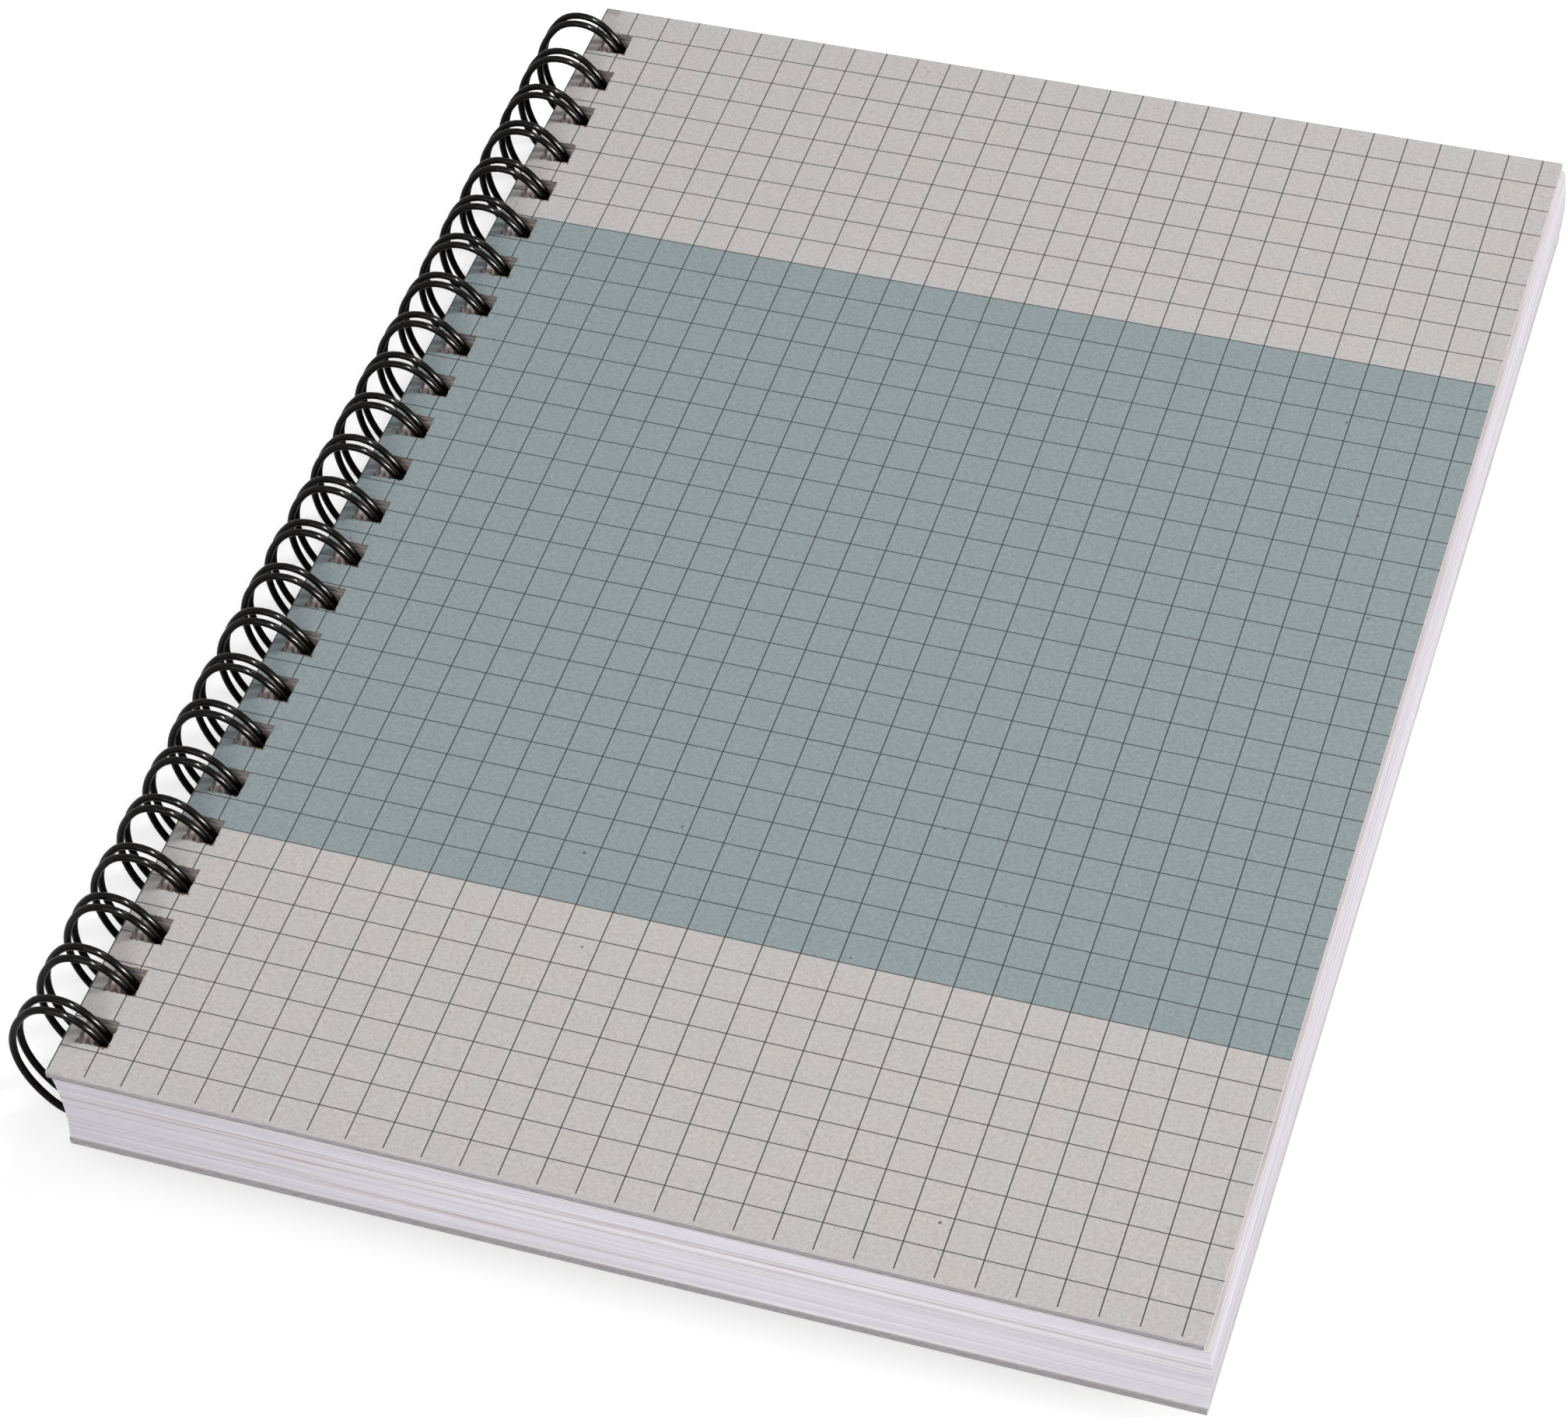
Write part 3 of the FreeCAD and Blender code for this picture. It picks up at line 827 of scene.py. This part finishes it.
def one_loop():
    """The way round one loop from root to tip, midway between its two wires.

    With it come the directions in which a wire leaves the root and would go on past the tip.
    """
    middle = Vector((
        WIRE_LOW.x + LOOP_HALF_WIDTH + WIRE_THICKNESS / 2, 0,
        WIRE_LOW.z + LOOP_HALF_HEIGHT + WIRE_THICKNESS / 2,
    ))
    cap_shift = LOOP_HALF_HEIGHT - LOOP_CAP_RADIUS
    side_radius = (LOOP_HALF_WIDTH**2 + cap_shift**2 - LOOP_CAP_RADIUS**2) / (
        2 * (LOOP_HALF_WIDTH - LOOP_CAP_RADIUS)
    )
    side_shift = side_radius - LOOP_HALF_WIDTH
    turn = math.atan2(cap_shift, side_shift)
    seam_z = BLOCK_LOW.z + SEAM_CLEARANCE + WIRE_THICKNESS / 2
    seam_angle = -math.asin((middle.z - seam_z) / side_radius)
    root_angle = seam_angle - ROOT_BEND_RADIUS / side_radius
    tip_angle = seam_angle + (SEAM_GAP + TWIN_SPACING / 2) / side_radius
    half, whole = math.pi, 2 * math.pi
    fore_side, bound_side = middle - EAST * side_shift, middle + EAST * side_shift
    stretches = (
        (fore_side, side_radius, root_angle, -turn),
        (middle - UP * cap_shift, LOOP_CAP_RADIUS, -turn, turn - half),
        (bound_side, side_radius, turn - half, -half - turn),
        (middle + UP * cap_shift, LOOP_CAP_RADIUS, -half - turn, turn - whole),
        (fore_side, side_radius, turn - whole, tip_angle - whole),
    )
    points = []
    for centre, radius, start, end in stretches:
        points += arc(centre, EAST, UP, radius, start, end, LOOP_STEP)
    tip = fore_side + (EAST * math.cos(tip_angle) + UP * math.sin(tip_angle)) * side_radius
    points.append(tip)
    at_root = EAST * math.sin(root_angle) - UP * math.cos(root_angle)
    at_tip = EAST * math.sin(tip_angle) - UP * math.cos(tip_angle)
    return points, at_root, at_tip


def comb_line():
    """The centre line of the whole wire, loop after loop, out round each loop and home again."""
    round_loop, at_root, at_tip = one_loop()
    half_twin, half_tip = TWIN_SPACING / 2, TIP_SPACING / 2
    quarter, half = math.pi / 2, math.pi
    shares = [
        max(0.0, step / (len(round_loop) - 1) - NARROWS_FROM) / (1 - NARROWS_FROM)
        for step in range(len(round_loop))
    ]
    aside = [
        NORTH * (half_twin + (half_tip - half_twin) * (3 - 2 * share) * share**2)
        for share in shares
    ]
    line = []
    for number, y in enumerate(hole_middles()):
        out, home = NORTH * (y - half_twin), NORTH * (y + half_twin)
        if number > 0:
            bend = round_loop[0] + out - NORTH * ROOT_BEND_RADIUS
            line += arc(bend, -at_root, NORTH, ROOT_BEND_RADIUS, 0, quarter, BEND_STEP)
        there = [point + NORTH * y - gap for point, gap in zip(round_loop, aside)]
        back = [point + NORTH * y + gap for point, gap in zip(round_loop, aside)]
        line += there[:-1]
        line += arc(round_loop[-1] + NORTH * y, -NORTH, at_tip, half_tip, 0, half, TIP_STEP)
        line += reversed(back)
        if number < HOLES - 1:
            bend = round_loop[0] + home + NORTH * ROOT_BEND_RADIUS
            line += arc(bend, -NORTH, -at_root, ROOT_BEND_RADIUS, 0, quarter, BEND_STEP)[1:]
            line.append(bend - at_root * ROOT_BEND_RADIUS)
    return line


def wire_tree():
    """A round tube along a line of edges."""
    nodes, given = shape_nodes(
        "wire_tube",
        (("Thickness", "Float", 1.0 * MM), ("Sides", "Int", 10), ("Coat", "Material", None)),
    )
    ring = nodes.node(
        "GeometryNodeCurvePrimitiveCircle", {"mode": "RADIUS"},
        {"Resolution": given.beside("Sides"), "Radius": given.beside("Thickness") * 0.5},
    )
    path = nodes.node("GeometryNodeMeshToCurve", values={"Mesh": given})
    tube = nodes.node(
        "GeometryNodeCurveToMesh",
        values={"Curve": path, "Profile Curve": ring, "Fill Caps": True},
    )
    return close_tree(nodes, tube, given.beside("Coat"))


def binding_wire(finish):
    """One length of wire bent into a comb of twin loops."""
    line = comb_line()
    path = bpy.data.meshes.new("comb_line")
    path.from_pydata(line, [(n, n + 1) for n in range(len(line) - 1)], [])
    wire = settle(
        link("comb_line", path), wire_tree(),
        {"Thickness": WIRE_THICKNESS, "Sides": WIRE_SIDES, "Coat": finish}, "comb_wire",
    )
    wire.data.polygons.foreach_set("use_smooth", [True] * len(wire.data.polygons))
    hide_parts("binding_wire")
    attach(wire, "block")


printed_board = Board("printed_board", FRONT_LOW, FRONT_HIGH, True).dressed()
plain_board = Board("plain_board", BACK_LOW, BACK_HIGH, False).dressed()
cover("front_cover", FRONT_LOW, FRONT_HIGH, printed_board, FRONT_SEED)
cover("back_cover", BACK_LOW, BACK_HIGH, plain_board, BACK_SEED)
leaves(leaf_paper())
binding_wire(coated_wire())


BLACK, WHITE = (0.0, 0.0, 0.0), (1.0, 1.0, 1.0)
FLOOR_COLOUR = (0.8, 0.8, 0.8)
FLOOR_ROUGHNESS = 0.9
FLOOR_REACH = 3.0
FLOOR_DROP = 0.05 * MM
ROOM_LIGHT = 0.38

# The floor's own glow, which makes up what the lamps leave short of white. It grows where
# they no longer reach, between these distances from the notebook's middle.
FLOOR_GLOW = 0.42
LAMPS_END = (0.3, 0.8)

# Name, place, width, length, power, and whether only gloss shows the lamp.
LAMPS = (
    ("front_lamp", (-0.08, -0.86, 0.5), 0.9, 0.5, 5.1, False),
    ("key_lamp", (0.35, 0.5, 0.8), 0.2, 0.2, 4.1, False),
    ("right_lamp", (0.943, -0.105, 0.314), 0.3, 0.3, 2.8, False),
    ("top_shine", (0.17, -0.4, 0.9), 0.06, 0.7, 32.0, True),
    ("side_shine", (0.87, -0.42, 0.24), 0.06, 0.7, 32.0, True),
)

# Lens and sensor in millimetres, turn in degrees.
LENS = 98.974
SENSOR_WIDTH = 36.0
NEAREST_SEEN = 0.05
CAMERA_PLACE = (141.091 * MM, -371.204 * MM, 444.987 * MM)
CAMERA_TURN = (41.1708, 3.5732, 17.9623)


def floor():
    """A white floor that shows only the notebook's soft shadow."""
    finish = Finish("white_floor")
    seen = finish.node("ShaderNodeLightPath", output="Is Camera Ray")
    x, y, _ = finish.axes(finish.place())
    beyond_lamps = (x * x + y * y).root().ramp(*LAMPS_END)
    glow = seen * (FLOOR_GLOW + (1 - FLOOR_GLOW) * beyond_lamps)
    finish.surface(
        Base_Color=FLOOR_COLOUR, Roughness=FLOOR_ROUGHNESS, Specular_IOR_Level=0.0,
        Emission_Color=finish.mix(glow, BLACK, WHITE), Emission_Strength=1.0,
    )
    plane = bpy.data.meshes.new("floor")
    corners = rectangle(-FLOOR_REACH, FLOOR_REACH, -FLOOR_REACH, FLOOR_REACH)
    plane.from_pydata([(*corner, 0) for corner in corners], [], [(0, 1, 2, 3)])
    plane.materials.append(finish.material)
    made = link("floor", plane)
    made.location.z = -FLOOR_DROP


def world_light():
    """Even room light, white wherever the camera or a reflection looks past the notebook."""
    world = bpy.data.worlds.new("studio")
    bpy.context.scene.world = world
    world.use_nodes = True
    world.node_tree.nodes.clear()
    sky = Nodes(world.node_tree)
    seen = sky.node("ShaderNodeLightPath", output="Is Camera Ray")
    shown = (seen + seen.beside("Is Glossy Ray") + seen.beside("Is Transmission Ray")).clamped()
    light = sky.node(
        "ShaderNodeBackground",
        values={"Color": WHITE, "Strength": ROOM_LIGHT + (1 - ROOM_LIGHT) * shown},
    )
    sky.node("ShaderNodeOutputWorld", values={"Surface": light})


def lamp(name, place, width, length, power, gloss_only):
    """An area lamp aimed at the notebook, its length lying along the bound edge."""
    data = bpy.data.lights.new(name, "AREA")
    data.shape = "RECTANGLE"
    data.size = width
    data.size_y = length
    data.energy = power
    made = link(name, data)
    back = Vector(place).normalized()
    along = (NORTH - back * NORTH.dot(back)).normalized()
    turn = Matrix((along.cross(back), along, back)).transposed()
    made.matrix_world = Matrix.Translation(place) @ turn.to_4x4()
    made.visible_diffuse = not gloss_only


def camera():
    """The photograph's view of the notebook."""
    data = bpy.data.cameras.new("camera")
    data.sensor_width = SENSOR_WIDTH
    data.lens = LENS
    data.clip_start = NEAREST_SEEN
    made = link("camera", data)
    made.location = CAMERA_PLACE
    made.rotation_euler = [math.radians(turn) for turn in CAMERA_TURN]
    bpy.context.scene.camera = made


floor()
world_light()
for settings in LAMPS:
    lamp(*settings)
camera()
bpy.context.scene.view_settings.view_transform = "Standard"
